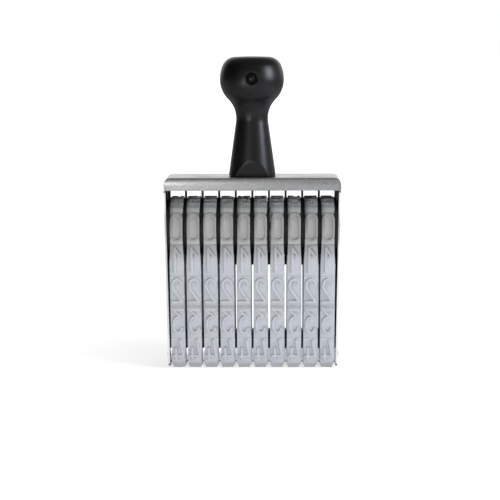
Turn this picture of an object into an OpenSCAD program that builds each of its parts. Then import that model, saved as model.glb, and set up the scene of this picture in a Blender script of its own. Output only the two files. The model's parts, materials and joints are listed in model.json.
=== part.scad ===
// Hand numbering stamp with endless rubber bands.
// Each band carries raised mirrored digits, runs over a wheel on a shared axle
// and round a platen bar, and prints from the bottom of its loop.
// Frame of the part: +Z up through the handle, +X along the row of bands,
// -Y towards the user, z = 0 on the printing faces of the digits.

/* [Bands] */
// Number of bands side by side
band_count = 10; // [2:1:10]
// Distance from one band to the next
band_pitch = 9.5; // [9:0.1:12]
// Gap between two neighbouring bands on their straight runs
band_gap = 1.2; // [1.1:0.1:2]
// Thickness of the rubber web under the digits
band_t = 1.5; // [1:0.1:2]
// Height of the raised digits above the web
relief = 1.8; // [1:0.1:2.2]
// Distance from one digit to the next along a band
digit_pitch = 18.25; // [16:0.25:20]
// Height of a printed digit
digit_h = 15; // [11:0.5:15]
// Width of a printed digit
digit_w = 6.9; // [5:0.1:7]
// Width of a digit's stroke
stroke_w = 1.7; // [0.8:0.1:1.9]
// Distance between the grip ribs on the blank stretch
rib_pitch = 3.3; // [2.5:0.1:6]
// Width of a grip rib
rib_w = 1.2; // [0.6:0.1:1.8]
// Height of the grip ribs above the web
rib_h = 2.2; // [1:0.1:2.4]

/* [Wheels] */
// Diameter of the drum that carries a band
drum_d = 27.4; // [22:0.2:28]
// Diameter of the flanges beside the band
flange_d = 33; // [30:0.2:34]
// Thickness of one flange
flange_t = 0.35; // [0.3:0.05:0.6]
// Radial room between drum and band
drum_gap = 0.3; // [0.2:0.05:0.5]
// Room beside the band in its groove, on each side
groove_gap = 0.1; // [0.05:0.05:0.2]

/* [Axle] */
// Diameter of the axle
axle_d = 4; // [3:0.5:5]
// Height of the axle above the printing faces
axle_z = 82; // [70:1:100]
// Radial running clearance on the axle
run_gap = 0.05; // [0.02:0.01:0.1]
// Diameter of the closed-over ends
axle_head_d = 4.8; // [4.6:0.1:7]
// Length of each closed-over end
axle_head_h = 0.8; // [0.4:0.1:1.2]

/* [Separators] */
// Thickness of a separator
sep_t = 1.3; // [0.8:0.1:1.3]
// Diameter of its round middle
sep_d = 31; // [24:0.5:32]
// Width of its neck
neck_w = 3; // [2:0.5:6]
// Reach of its tail below the axle
tail_reach = 22; // [18:0.5:26]
// Width of its tail
tail_w = 8; // [5:0.5:10]
// Height of its crosshead
crosshead_h = 1.2; // [1:0.1:2]

/* [Frame] */
// Thickness of the sheet metal
sheet = 1.2; // [1:0.1:1.6]
// Room between the outer bands' cells and the side plates, at the skirt
side_gap = 1.4; // [1.2:0.1:3]
// Inward lean of each side plate over its height
side_lean = 1.2; // [0.6:0.1:1.3]
// Front-to-back depth of the top
frame_d = 25; // [24:0.5:30]
// Height from the axle to the top face
head_room = 29; // [28:0.5:36]
// Height of the skirt
skirt_h = 7.1; // [6:0.1:8]
// Outer bend radius at the top corners
corner_r = 4; // [2:0.5:5]
// Outer bend radius along the top's long edges
edge_r = 1.3; // [0.8:0.1:2]
// Clearance of the side plates' feet above the printing faces
foot_z = 1.3; // [1:0.1:3]
// Corner radius of the feet
foot_r = 3; // [1:0.5:5]
// Diameter of the corner relief holes
relief_d = 1.6; // [1:0.1:2]

/* [Platen bar] */
// Front-to-back depth of the bar
bar_d = 19.8; // [18:0.2:22]
// Height of the bar
bar_h = 9.3; // [8:0.1:12]
// Radius of the bar's lower edges, which the bands turn round
bar_r = 3; // [2:0.25:4]
// Diameter of the rivets that hold the bar
rivet_d = 3; // [2:0.5:4]
// Depth of the rivets in the bar
rivet_depth = 8; // [5:0.5:12]
// Distance between the two rivets of one end
rivet_spacing = 10; // [7:0.5:12]
// Diameter of the rivets' heads
rivet_head_d = 5; // [4.5:0.1:6]
// Height of the rivets' heads
rivet_head_h = 0.7; // [0.4:0.1:1]

/* [Guide comb] */
// Height of the comb
comb_h = 6.4; // [5:0.1:9]
// Depth of the comb's spine
comb_d = 13; // [9:0.5:16]
// Thickness of a tooth
tooth_t = 1; // [0.6:0.1:1]
// Depth over the teeth
tooth_d = 21.8; // [18:0.2:23]
// Thread diameter of the comb's screws
comb_screw_d = 3; // [2:0.5:3.5]
// Head diameter of the comb's screws
comb_head_d = 5.5; // [5:0.1:6.5]

/* [Handle] */
// Height of the handle
handle_h = 67.2; // [50:0.1:80]
// Diameter of the foot of the handle
foot_d = 26.5; // [22:0.5:28]
// Smallest diameter of the neck
neck_d = 18; // [15:0.5:20]
// Radius of the hollow where the neck widens into the knob
flare_r = 15; // [8:0.5:20]
// Greatest diameter of the knob
knob_d = 36; // [32:0.1:42]
// Depth of the knob's greatest diameter below the top
knob_drop = 12.8; // [10:0.1:15]
// Radius of the knob's outline below its greatest diameter
knob_r = 15.5; // [14:0.1:17]
// Radius of the knob's outline above its greatest diameter
knob_upper_r = 20.5; // [17:0.5:24]
// Radius of the shoulder round the knob's top
shoulder_r = 7.9; // [5:0.1:10]
// Height of the flats at the foot
flat_h = 12.4; // [4:0.1:14]
// Depth of the flats at the foot's edge
flat_cut = 4; // [1:0.1:4.5]
// Diameter of the round dimples in the front and back of the knob
dimple_d = 7; // [4:0.5:9]
// Depth of the dimples
dimple_depth = 0.8; // [0.4:0.1:1.5]
// Height of the dimples' middle above the knob's greatest diameter
dimple_rise = 1; // [-3:0.5:3]

/* [Handle screw] */
// Thread diameter of the handle screw
screw_d = 6; // [4:0.5:7]
// Length of the screw's shank
screw_len = 20; // [14:0.5:24]
// Head diameter
screw_head_d = 10; // [9.5:0.1:12]
// Head height
screw_head_h = 3; // [2.5:0.1:3.5]
// Width across the hexagon socket
socket_w = 4; // [2.5:0.5:5]
// Outer diameter of the threaded insert
insert_d = 10; // [9:0.5:12]
// Length of the threaded insert
insert_len = 18; // [12:0.5:20]
// Washer diameter
washer_d = 14; // [13:0.5:16]
// Washer thickness
washer_t = 1; // [0.8:0.1:1.4]

/* [Hidden] */
eps = 0.01;
fit_gap = 0.05;

// Loop of a band: round the drum above, round the bar's two lower edges below
band_in_r = drum_d / 2 + drum_gap;
bar_z = relief + band_t;
flat_half = bar_d / 2 - bar_r;
bend_z = bar_z + bar_r;
centre_dist = norm([flat_half, axle_z - bend_z]);
lean = asin((band_in_r - bar_r) / centre_dist) - atan2(flat_half, axle_z - bend_z);
run_len = sqrt(pow(centre_dist, 2) - pow(band_in_r - bar_r, 2));
bend_len = (bar_r + band_t) * (90 - lean) * PI / 180;
run_start = flat_half + bend_len;
drum_start = run_start + run_len;
drum_len = (band_in_r + band_t) * (180 + 2 * lean) * PI / 180;

// Widths across the bands
band_w = band_pitch - band_gap;
wheel_w = band_pitch - sep_t - 2 * fit_gap;
groove_w = wheel_w - 2 * flange_t;
band_w_drum = groove_w - 2 * groove_gap;
flange_r = flange_d / 2;
squeeze_top = axle_z - sqrt(pow(flange_r + drum_gap, 2) - pow(band_in_r, 2));
squeeze_h = 4;
row_w = band_count * band_pitch;
face_r = band_in_r + band_t + relief;

// Frame
top_z = axle_z + head_room;
skirt_z = top_z - skirt_h;
tab_z = skirt_z - sheet;
half_in = row_w / 2 + side_gap;
half_out = half_in + sheet;
side_d = frame_d - 2 * sheet;
function lean_at(z) = z >= skirt_z ? 0 : side_lean * (skirt_z - z) / (skirt_z - foot_z);
function in_at(z) = half_in - lean_at(z);
function out_at(z) = half_out - lean_at(z);

// Bar, rivets and comb
bar_top = bar_z + bar_h;
bar_half = in_at(bar_z) - fit_gap;
rivet_z = bar_z + bar_h / 2;
comb_half = in_at(bar_top) - fit_gap;
comb_screw_x = band_pitch * (floor(band_count / 2) - 1 + (band_count % 2) / 2 + 0.5);
comb_screw_len = 7;
comb_recess = 2;
comb_screw_head_h = 1.8;
comb_top = bar_top + comb_h;
comb_seat = comb_top - comb_recess;

// Handle screw stack, hanging from the underside of the top
under_top = top_z - sheet;
screw_seat = under_top - washer_t;
screw_bottom = screw_seat - screw_head_h;
screw_hole_d = screw_d + 0.4;
socket_depth = screw_head_h * 0.6;
insert_bore_d = screw_d + 2 * fit_gap;
sep_top = screw_bottom - 0.3;
crosshead_z = sep_top - crosshead_h;

// Height of the knob's greatest diameter above the foot
knob_z = handle_h - knob_drop;

wheel_names = [for (i = [1 : band_count]) str("wheel_", i < 10 ? "0" : "", i)];
band_names = [for (i = [1 : band_count]) str("band_", i < 10 ? "0" : "", i)];
sep_names = [for (i = [1 : band_count + 1]) str("separator_", i < 10 ? "0" : "", i)];

function band_x(i) = (i - (band_count + 1) / 2) * band_pitch;
function sep_x(i) = (i - 1 - band_count / 2) * band_pitch;

// ---- Helpers -------------------------------------------------------------

function arc(cx, cy, rx, ry, a0, a1, n) =
    [for (i = [0 : n]) let (a = a0 + (a1 - a0) * i / n) [cx + rx * cos(a), cy + ry * sin(a)]];

// A drawing in the Y-Z plane, extruded along X about x = 0
module along_x(length) {
    rotate([90, 0, 90]) linear_extrude(length, center = true) children();
}

// A drawing in the X-Z plane, extruded along Y about y = 0
module along_y(length) {
    rotate([90, 0, 0]) linear_extrude(length, center = true) children();
}

module rod_x(d, length, fn = 48) {
    rotate([0, 90, 0]) cylinder(d = d, h = length, center = true, $fn = fn);
}

// ---- Digits --------------------------------------------------------------

function unit(v) = v / norm(v);
function left_of(v) = [-v[1], v[0]];
function dir_in(p, i) = i > 0 ? unit(p[i] - p[i - 1]) : unit(p[1] - p[0]);
function dir_out(p, i) = i < len(p) - 1 ? unit(p[i + 1] - p[i]) : dir_in(p, i);
function side_point(p, i, d) =
    let (a = left_of(dir_in(p, i)), m = unit(a + left_of(dir_out(p, i))))
    p[i] + m * d / max(0.5, m * a);
function side_line(p, d) = [for (i = [0 : len(p) - 1]) side_point(p, i, d)];
function backwards(p) = [for (i = [len(p) - 1 : -1 : 0]) p[i]];

// A line of even width along the points p
module stroke(p) {
    polygon(concat(side_line(p, stroke_w / 2), backwards(side_line(p, -stroke_w / 2))));
}

module oval_ring(cy, rx, ry, straight = 0) {
    function oval(d) = concat(
        arc(0, cy + straight, rx + d, ry + d, 0, 180, 6),
        arc(0, cy - straight, rx + d, ry + d, 180, 360, 6));
    difference() {
        polygon(oval(stroke_w / 2));
        polygon(oval(-stroke_w / 2));
    }
}

// One digit, upright and readable, centred on the origin
module digit(n) {
    a = (digit_w - stroke_w) / 2;
    b = (digit_h - stroke_w) / 2;
    end = stroke_w / 2;
    bowl = b * 0.54;
    big_bowl = b * 0.69;
    if (n == 0) oval_ring(0, a, a, b - a);
    if (n == 1) {
        stroke([[a * 0.42, -b - end], [a * 0.42, b + end]]);
        stroke([[a * 0.42, b], [-a * 0.72, b * 0.3]]);
    }
    if (n == 2) {
        stroke(concat(arc(0, b - bowl, a, bowl, 168, -45, 7), [[-a * 0.95, -b + end * 0.6]]));
        stroke([[-a - end, -b], [a + end, -b]]);
    }
    if (n == 3) {
        stroke([[-a - end, b], [a, b], [-a * 0.7, b * 0.42]]);
        stroke(concat([[-a * 0.7, b * 0.4]], arc(0, big_bowl - b, a, big_bowl, 95, -165, 9)));
    }
    if (n == 4) {
        stroke([[-a * 0.4, b + end], [-a * 1.05, -b * 0.38], [a + end, -b * 0.38]]);
        stroke([[a * 0.56, b * 0.42], [a * 0.56, -b - end]]);
    }
    if (n == 5) {
        stroke([[a + end, b], [-a + end * 0.4, b], [-a + end * 0.1, b * 0.12]]);
        stroke(arc(0, bowl - b, a, bowl, 140, -160, 9));
    }
    if (n == 6) {
        oval_ring(bowl - b, a, bowl);
        stroke(concat(arc(0, b - a, a, a, 15, 180, 6), [[-a, bowl - b]]));
    }
    if (n == 7) stroke([[-a - end, b], [a, b], [-a * 0.4, -b - end]]);
    if (n == 8) {
        oval_ring(b - b * 0.48, a * 0.9, b * 0.48);
        oval_ring(b * 0.52 - b, a, b * 0.52);
    }
    if (n == 9) rotate(180) digit(6);
}

// ---- Band ----------------------------------------------------------------

// Outline of the loop in the Y-Z plane, a distance e outside the band's inner face
function loop_outline(e) = concat(
    arc(0, axle_z, band_in_r + e, band_in_r + e, -lean, 180 + lean, 22),
    arc(-flat_half, bend_z, bar_r + e, bar_r + e, 180 + lean, 270, 4),
    arc(flat_half, bend_z, bar_r + e, bar_r + e, 270, 360 - lean, 4));

module loop_shell(e_in, e_out, width) {
    along_x(width) difference() {
        polygon(loop_outline(e_out));
        polygon(loop_outline(e_in));
    }
}

// Distance along the web from the middle of the platen to the centre of a digit.
// The front carries 4, 3, 2, 1, 0 upwards, the back 6, 7, 8, 9.
function digit_place(n) = abs(n - 5) * digit_pitch;

// Height of the place that lies a distance s along the web
function height_at(s) = s < drum_start
    ? bend_z - (bar_r + band_t) * sin(lean) + (s - run_start) * cos(lean)
    : axle_z + (band_in_r + band_t) * sin((s - drum_start) / (band_in_r + band_t) * 180 / PI - lean);

module grip_ribs() {
    first = 5.5 * digit_pitch + rib_pitch / 2;
    last = drum_start + drum_len;
    web_r = band_in_r + band_t;
    for (s = [first : rib_pitch : last]) {
        turn = 180 + lean - (s - drum_start) / web_r * 180 / PI;
        translate([0, 0, axle_z]) rotate([turn, 0, 0])
            translate([-band_w_drum / 2, web_r - band_t / 2, -rib_w / 2])
                cube([band_w_drum, band_t / 2 + rib_h, rib_w]);
    }
}

module band_body() {
    reach = face_r + 1;
    front = [0, 1, 2, 3, 4];
    back = [6, 7, 8, 9];
    // Web, drawn in where it runs between the flanges
    intersection() {
        loop_shell(0, band_t, band_pitch);
        along_y(2 * reach) polygon([
            [-band_w / 2, -1], [band_w / 2, -1],
            [band_w / 2, squeeze_top - squeeze_h], [band_w_drum / 2, squeeze_top],
            [band_w_drum / 2, axle_z + reach], [-band_w_drum / 2, axle_z + reach],
            [-band_w_drum / 2, squeeze_top], [-band_w / 2, squeeze_top - squeeze_h]]);
    }
    // Digits, mirrored so that they print the right way round
    intersection() {
        loop_shell(band_t / 2, band_t + relief, band_pitch);
        union() {
            for (n = front) translate([0, -reach / 2 - 1, height_at(digit_place(n))])
                along_y(reach) mirror([1, 0]) digit(n);
            for (n = back) translate([0, reach / 2 + 1, height_at(digit_place(n))])
                along_y(reach) rotate(180) digit(n);
            translate([0, 0, -1]) linear_extrude(bar_z) rotate(180) digit(5);
        }
    }
    grip_ribs();
}

module band(i) {
    color("lightgray") translate([band_x(i), 0, 0]) band_body();
}

// ---- Wheel, axle and separators -------------------------------------------

module wheel(i) {
    recess_in = 10;
    recess_out = drum_d - 5;
    recess_depth = wheel_w / 2 - 1;
    color("#222") translate([band_x(i), 0, axle_z]) difference() {
        union() {
            rod_x(drum_d, wheel_w, 96);
            for (side = [-1, 1]) translate([side * (wheel_w - flange_t) / 2, 0, 0])
                rod_x(flange_d, flange_t, 96);
        }
        rod_x(axle_d + 2 * run_gap, wheel_w + 1);
        for (side = [-1, 1]) translate([side * wheel_w / 2, 0, 0]) difference() {
            rod_x(recess_out, 2 * recess_depth, 72);
            rod_x(recess_in, 2 * recess_depth + 1, 72);
        }
    }
}

module axle() {
    end_x = out_at(axle_z) + fit_gap;
    r = axle_d / 2;
    head_r = axle_head_d / 2;
    color("silver") translate([0, 0, axle_z]) rotate([0, 90, 0]) rotate_extrude($fn = 72)
        polygon(concat(
            [[0, -end_x - axle_head_h]],
            arc(0, -end_x, head_r, axle_head_h, -80, 0, 6),
            [[r, -end_x], [r, end_x]],
            arc(0, end_x, head_r, axle_head_h, 0, 80, 6),
            [[0, end_x + axle_head_h]]));
}

module separator(i) {
    guide_d = side_d - 0.4;
    color("#111") translate([sep_x(i), 0, 0]) difference() {
        union() {
            translate([0, 0, axle_z]) rod_x(sep_d, sep_t, 96);
            translate([-sep_t / 2, -neck_w / 2, axle_z]) cube([sep_t, neck_w, sep_top - axle_z]);
            translate([-sep_t / 2, -guide_d / 2, crosshead_z]) cube([sep_t, guide_d, crosshead_h]);
            translate([-sep_t / 2, -tail_w / 2, axle_z - tail_reach]) cube([sep_t, tail_w, tail_reach]);
        }
        translate([0, 0, axle_z]) rod_x(axle_d + 2 * run_gap, sep_t + 1);
    }
}

// ---- Frame ---------------------------------------------------------------

// Front view of the folded sheet, a distance d inside its outer face
function fold_outline(d, foot) = concat(
    [[d - out_at(foot), foot], [d - half_out, skirt_z]],
    arc(corner_r - half_out, top_z - corner_r, corner_r - d, corner_r - d, 180, 90, 6),
    arc(half_out - corner_r, top_z - corner_r, corner_r - d, corner_r - d, 90, 0, 6),
    [[half_out - d, skirt_z], [out_at(foot) - d, foot]]);

// Side view: full depth at the skirt, narrower side plates below
function side_outline(y_top, y_side) = concat(
    arc(foot_r - y_side, foot_z + foot_r, foot_r, foot_r, 180, 270, 4),
    arc(y_side - foot_r, foot_z + foot_r, foot_r, foot_r, 270, 360, 4),
    [[y_side, tab_z], [y_top, tab_z]],
    arc(y_top - edge_r, top_z - edge_r, edge_r, edge_r, 0, 90, 4),
    arc(edge_r - y_top, top_z - edge_r, edge_r, edge_r, 90, 180, 4),
    [[-y_top, tab_z], [-y_side, tab_z]]);

module frame() {
    slit = 0.2;
    slit_h = skirt_h - corner_r + slit;
    slit_z = skirt_z + slit_h / 2 - slit;
    color("silver") difference() {
        intersection() {
            union() {
                along_y(frame_d) difference() {
                    polygon(fold_outline(0, foot_z));
                    polygon(fold_outline(sheet, foot_z - 1));
                }
                for (side = [-1, 1]) translate([0, side * (frame_d - sheet) / 2, 0])
                    along_y(sheet) polygon(fold_outline(eps, skirt_z));
            }
            along_x(2 * half_out + 1) polygon(side_outline(frame_d / 2, side_d / 2));
        }
        // Relief holes and slits where skirt and side plate meet
        for (x = [-1, 1], y = [-1, 1]) {
            translate([x * (half_out - corner_r + 1.2), y * frame_d / 2, top_z]) rotate([y * 45, 0, 0])
                cylinder(d = relief_d, h = 4 * sheet, center = true, $fn = 24);
            translate([x * (half_out - sheet - slit), y * (frame_d - sheet) / 2, slit_z])
                cube([slit, sheet + 0.5, slit_h], center = true);
        }
        // Holes for the axle, the rivets and the handle screw
        translate([0, 0, axle_z]) rod_x(axle_d + 2 * run_gap, 2 * half_out + 1);
        for (y = [-1, 1]) translate([0, y * rivet_spacing / 2, rivet_z])
            rod_x(rivet_d + 2 * fit_gap, 2 * half_out + 1);
        translate([0, 0, under_top - 1]) cylinder(d = screw_hole_d, h = sheet + 2, $fn = 48);
    }
}

// ---- Platen bar, rivets and comb -------------------------------------------

function bar_outline(r, top_r) =
    let (y = bar_d / 2 - fit_gap, z = bar_z + fit_gap)
    concat(
        arc(r - y, z + r, r, r, 180, 270, 6),
        arc(y - r, z + r, r, r, 270, 360, 6),
        arc(y - top_r, bar_top - top_r, top_r, top_r, 0, 90, 3),
        arc(top_r - y, bar_top - top_r, top_r, top_r, 90, 180, 3));

module platen_bar() {
    color("gainsboro") difference() {
        along_x(2 * bar_half) polygon(bar_outline(bar_r, 0.6));
        for (x = [-1, 1], y = [-1, 1]) translate([x * bar_half, y * rivet_spacing / 2, rivet_z])
            rod_x(rivet_d + 2 * fit_gap, 2 * rivet_depth + 1);
        for (x = [-1, 1]) translate([x * comb_screw_x, 0, comb_seat - comb_screw_len - 0.5])
            cylinder(d = comb_screw_d + 2 * fit_gap, h = comb_screw_len, $fn = 36);
    }
}

module bar_rivets() {
    face_x = out_at(rivet_z - rivet_head_d / 2) + 0.06;
    r = rivet_d / 2;
    color("silver") for (x = [0, 1], y = [-1, 1]) mirror([x, 0, 0])
        translate([face_x, y * rivet_spacing / 2, rivet_z]) rotate([0, 90, 0]) rotate_extrude($fn = 48)
            polygon(concat(
                [[0, bar_half - rivet_depth - face_x], [r, bar_half - rivet_depth - face_x], [r, 0]],
                arc(0, 0, rivet_head_d / 2, rivet_head_h, 0, 80, 5),
                [[0, rivet_head_h]]));
}

module guide_comb() {
    color("#1a1a1a") difference() {
        intersection() {
            union() {
                translate([-comb_half, -comb_d / 2, bar_top]) cube([2 * comb_half, comb_d, comb_h]);
                for (i = [1 : band_count + 1]) translate([sep_x(i) - tooth_t / 2, -tooth_d / 2, bar_top])
                    cube([tooth_t, tooth_d, comb_h]);
            }
            translate([-comb_half, -tooth_d, bar_top - 1]) cube([2 * comb_half, 2 * tooth_d, comb_h + 2]);
        }
        for (x = [-1, 1]) translate([x * comb_screw_x, 0, 0]) {
            translate([0, 0, bar_top - 1]) cylinder(d = comb_screw_d + 0.3, h = comb_h + 2, $fn = 36);
            translate([0, 0, comb_seat]) cylinder(d = comb_head_d + 0.4, h = comb_recess + 1, $fn = 36);
        }
    }
}

module comb_screws() {
    color("silver") for (x = [-1, 1]) translate([x * comb_screw_x, 0, comb_seat]) difference() {
        union() {
            cylinder(d = comb_head_d, h = comb_screw_head_h, $fn = 36);
            translate([0, 0, -comb_screw_len])
                cylinder(d = comb_screw_d, h = comb_screw_len + eps, $fn = 36);
        }
        translate([-comb_head_d, -0.4, comb_screw_head_h - 0.7]) cube([2 * comb_head_d, 0.8, 1]);
    }
}

// ---- Handle --------------------------------------------------------------

// The outline of the handle, radius against height above the foot
function handle_outline() =
    let (foot = foot_d / 2, chamfer = 0.5, rim_h = 1.2, crown_h = 0.3,
         low_x = knob_d / 2 - knob_r, high_x = knob_d / 2 - knob_upper_r,
         flare_x = neck_d / 2 + flare_r,
         low_a = -acos((flare_x - low_x) / (knob_r + flare_r)),
         flare_z = knob_z + (knob_r + flare_r) * sin(low_a),
         reach = norm([flare_x - foot, flare_z - rim_h]),
         taper = atan2(flare_z - rim_h, flare_x - foot) - acos(flare_r / reach),
         high_a = asin((knob_drop - crown_h - shoulder_r) / (knob_upper_r - shoulder_r)),
         shoulder_x = high_x + (knob_upper_r - shoulder_r) * cos(high_a),
         shoulder_z = handle_h - crown_h - shoulder_r)
    concat(
        [[0, 0], [foot - chamfer, 0], [foot, chamfer], [foot, rim_h]],
        arc(flare_x, flare_z, flare_r, flare_r, 180 + taper, 180 + low_a, 8),
        arc(low_x, knob_z, knob_r, knob_r, low_a, 0, 12),
        arc(high_x, knob_z, knob_upper_r, knob_upper_r, high_a / 4, high_a, 3),
        arc(shoulder_x, shoulder_z, shoulder_r, shoulder_r, high_a + 10, 90, 7),
        [[shoulder_x / 2, handle_h - crown_h / 4], [0, handle_h]]);

module handle() {
    flat_top = foot_d / 2;
    color("#151515") translate([0, 0, top_z]) difference() {
        rotate_extrude($fn = 120) polygon(handle_outline());
        // Slanted flats at the front and back of the foot
        for (side = [0, 180]) rotate(side)
            along_x(foot_d) polygon([
                [-flat_top - 1, -1], [flat_cut - flat_top, -1], [flat_cut - flat_top, 0],
                [-flat_top + 0.1, flat_h], [-flat_top - 1, flat_h]]);
        translate([0, 0, -1]) cylinder(d = insert_d + 2 * fit_gap, h = insert_len + 1, $fn = 48);
        cylinder(d = screw_d + 1, h = screw_len + 4, $fn = 48);
        for (side = [-1, 1]) translate([0, side * knob_d / 2, knob_z + dimple_rise]) rotate([90, 0, 0])
            cylinder(d = dimple_d, h = 2 * dimple_depth, center = true, $fn = 48);
    }
}

module handle_insert() {
    color("goldenrod") translate([0, 0, top_z]) difference() {
        cylinder(d = insert_d, h = insert_len, $fn = 48);
        translate([0, 0, -1]) cylinder(d = insert_bore_d, h = insert_len + 2, $fn = 48);
    }
}

module handle_screw() {
    color("silver") difference() {
        union() {
            translate([0, 0, screw_bottom]) cylinder(d = screw_head_d, h = screw_head_h, $fn = 48);
            translate([0, 0, screw_seat - eps]) cylinder(d = screw_d, h = screw_len + eps, $fn = 48);
        }
        translate([0, 0, screw_bottom - 1]) cylinder(d = socket_w / cos(30), h = socket_depth + 1, $fn = 6);
    }
}

module handle_washer() {
    color("silver") translate([0, 0, screw_seat]) difference() {
        cylinder(d = washer_d, h = washer_t, $fn = 60);
        translate([0, 0, -1]) cylinder(d = screw_d + 0.3, h = washer_t + 2, $fn = 48);
    }
}

// ---- Parts ---------------------------------------------------------------

handle();
handle_insert();
handle_screw();
handle_washer();
frame();
axle();
platen_bar();
bar_rivets();
guide_comb();
comb_screws();
for (i = [1 : band_count]) wheel(i);
for (i = [1 : band_count]) band(i);
for (i = [1 : band_count + 1]) separator(i);
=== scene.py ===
"""Looks of a hand numbering stamp: ten rubber digit bands on knurled wheels, in a folded
metal frame under a black handle. The meshes are in metres, in the frame of the CAD model:
+Z up through the handle, +X along the row of bands, -Y towards the user and z = 0 on the
printing faces of the digits."""
import json
import math

import bmesh
import bpy
import numpy as np
from mathutils import Matrix, Vector


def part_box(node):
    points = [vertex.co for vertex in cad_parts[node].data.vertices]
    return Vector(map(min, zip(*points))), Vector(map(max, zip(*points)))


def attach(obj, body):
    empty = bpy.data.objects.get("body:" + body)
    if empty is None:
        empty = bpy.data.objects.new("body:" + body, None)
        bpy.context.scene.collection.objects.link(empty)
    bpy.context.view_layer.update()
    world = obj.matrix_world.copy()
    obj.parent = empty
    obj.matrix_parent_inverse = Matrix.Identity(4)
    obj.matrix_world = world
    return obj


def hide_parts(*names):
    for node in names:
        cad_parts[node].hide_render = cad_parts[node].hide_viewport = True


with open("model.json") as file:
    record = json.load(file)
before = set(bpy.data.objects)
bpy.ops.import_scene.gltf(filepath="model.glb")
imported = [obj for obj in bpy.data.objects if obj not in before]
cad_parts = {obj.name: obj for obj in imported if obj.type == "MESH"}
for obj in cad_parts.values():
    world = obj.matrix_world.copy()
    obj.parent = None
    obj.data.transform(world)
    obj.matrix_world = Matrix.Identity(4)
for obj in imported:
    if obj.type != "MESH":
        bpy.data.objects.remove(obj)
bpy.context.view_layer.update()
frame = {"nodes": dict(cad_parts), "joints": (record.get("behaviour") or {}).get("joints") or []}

MM = 0.001
TURN = 2 * math.pi

# Mesh work: distance within which places are one, and angles of flat, hard and sharp edges
SAME_PLACE = 1e-7
FLAT_ANGLE = math.radians(0.5)
HARD_ANGLE = math.radians(30)
SHARP_ANGLE = math.radians(34)
SHARP_ANGLE_TURNED = math.radians(40)
BEVEL_PROFILE = 0.6

# ---- Sizes, in millimetres where a name doesn't say otherwise ----

BAND_NAMES, WHEEL_NAMES, SEPARATOR_NAMES = (
    sorted(n for n in frame["nodes"] if n.startswith(kind))
    for kind in ("band_", "wheel_", "separator_"))
WHEEL_PLACES = {j["child"]: np.array(j["pos_m"]) / MM for j in frame["joints"]}
AXLE_Z = WHEEL_PLACES[WHEEL_NAMES[0]][2]
PITCH = WHEEL_PLACES[WHEEL_NAMES[1]][0] - WHEEL_PLACES[WHEEL_NAMES[0]][0]
FIT_GAP = 0.05

# Guide comb: height range, depth of the spine, thickness and depth of the teeth
COMB_BOTTOM = 12.6
COMB_TOP = 19.0
COMB_D = 13.0
COMB_ROUND = 0.35
TOOTH_T = 1.0
TOOTH_D = 21.8
TOOTH_ROUND = 0.25
TOOTH_DROP = 0.02

# Band: a web with raised digits, round a drum above and a bar below
WEB_T = 1.5
RELIEF = 1.8
DRUM_IN_R = 14.0
BEND_IN_R = 3.0
FLAT_HALF = 6.9
BAR_Z = RELIEF + WEB_T
BEND_Z = BAR_Z + BEND_IN_R
CENTRES = math.hypot(FLAT_HALF, AXLE_Z - BEND_Z)
LEAN = math.asin((DRUM_IN_R - BEND_IN_R) / CENTRES) - math.atan2(FLAT_HALF, AXLE_Z - BEND_Z)
RUN_START = FLAT_HALF + (BEND_IN_R + WEB_T) * (math.pi / 2 - LEAN)
RUN_LEN = math.sqrt(CENTRES ** 2 - (DRUM_IN_R - BEND_IN_R) ** 2)
DRUM_START = RUN_START + RUN_LEN
LOOP_LEN = 2 * DRUM_START + (DRUM_IN_R + WEB_T) * (math.pi + 2 * LEAN)
# Its width, which narrows between the flanges and a little where it bends round the bar
BAND_HALF_W = 4.13
BAND_HALF_W_DRUM = 3.6
SQUEEZE_TOP = 73.5
SQUEEZE_H = 13.0
PLATEN_SQUEEZE = 0.13
PLATEN_SQUEEZE_TOP = COMB_BOTTOM + 1
PLATEN_SQUEEZE_H = 2
# Its mesh: steps along the digits and the blank stretch, columns across, rounded edges, and
# the inner side from right to left, as (share of the half width, height)
ROW_STEP = 0.17
BLANK_STEP = 0.34
COLUMNS = 49
EDGE_ROUND = 0.18
WEB_EDGE = 0.2
INNER_SIDE = [(1, WEB_T - 0.5), (1, WEB_EDGE), (0.96, 0.0), (0, 0.0), (-0.96, 0.0),
              (-1, WEB_EDGE), (-1, WEB_T - 0.5)]
# How its materials count places along the loop
PLACE_UNIT = 100
# Chance: the digits' place along the band, its own place and sway sideways, and its waves
FIRST_SEED = 40
SHIFT_MAX = 0.14
SIDE_MAX = 0.05
SWAY = 0.04
WAVE_H = 0.02
WAVE_SKEW = 0.35
WAVE_COUNTS = (2, 3, 5)

# Digits, their cells and the moulding lines between them
DIGIT_PITCH = 18.25
DIGIT_H = 15.0
DIGIT_W = 6.9
DIGIT_MARGIN = 0.2
STROKE_W = 1.7
ZERO_STROKE_W = 1.3
FOUR_SHORTER = 1.6
ZERO_WIDER = 0.42
ZERO_TALLER = 0.55
WALL_SLOPE = 0.21
WORN_DIGITS = {3: 0.88, 4: 0.84}
LEDGE_STEP = 0.5
CELL_LINE_W = 0.3
CELL_LINE_DEPTH = 0.22
CELL_LINE_DROP = 0.9
# The splice takes the place of the line above the threes, with a slope down to it
CELL_LINES = [n for n in range(11) if n != 3]
SPLICE_AT = 45.7
SPLICE_W = 3.3
SPLICE_DEPTH = 0.08
SPLICE_SOFT = 0.7
SLOPE_H = 0.85 * RELIEF
SLOPE_TOP = SPLICE_AT + 0.4
SLOPE_LEN = 2.2
SLOPE_LOW = SPLICE_AT - SPLICE_W / 2 - 0.3
SLOPE_HIGH = SPLICE_AT + SPLICE_W

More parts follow.
